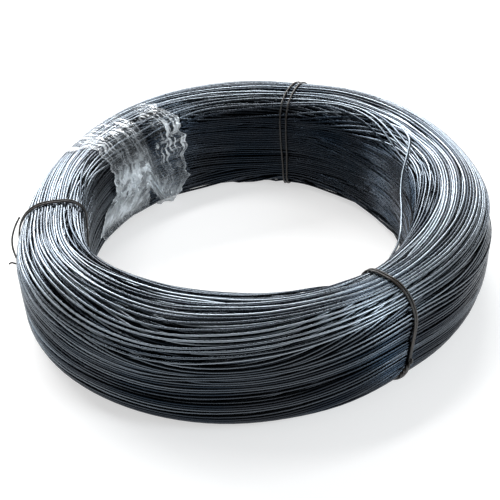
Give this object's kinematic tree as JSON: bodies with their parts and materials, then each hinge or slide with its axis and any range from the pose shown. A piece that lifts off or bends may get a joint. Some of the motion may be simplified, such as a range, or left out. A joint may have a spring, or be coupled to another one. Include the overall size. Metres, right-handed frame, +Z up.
{
  "type": "coil of black annealed wire",
  "caption": "Round coil of thin black annealed steel wire lying flat, with an open bore, bound by doubled tie wires and part-wrapped in a sleeve of clear film.",
  "frame": {"origin": "on the coil's axis, at the floor that it lies on", "axes": "+Z up along the coil's axis, -Y to the side that the picture sees from, +X to its right"},
  "size_m": [0.5031, 0.5, 0.123],
  "materials": {
    "black_wire": "black oxide of annealing, satin, worn bright along the crowns of the turns",
    "tie_wire": "black annealed, satin, slightly brown",
    "clear_film": "thin clear film, glossy, crumpled"
  },
  "bodies": {
    "root": {"wire_coil": "black_wire", "tie_wire_left": "tie_wire", "tie_wire_rear": "tie_wire", "tie_wire_right": "tie_wire", "film_wrap": "clear_film"}
  },
  "joints": []
}
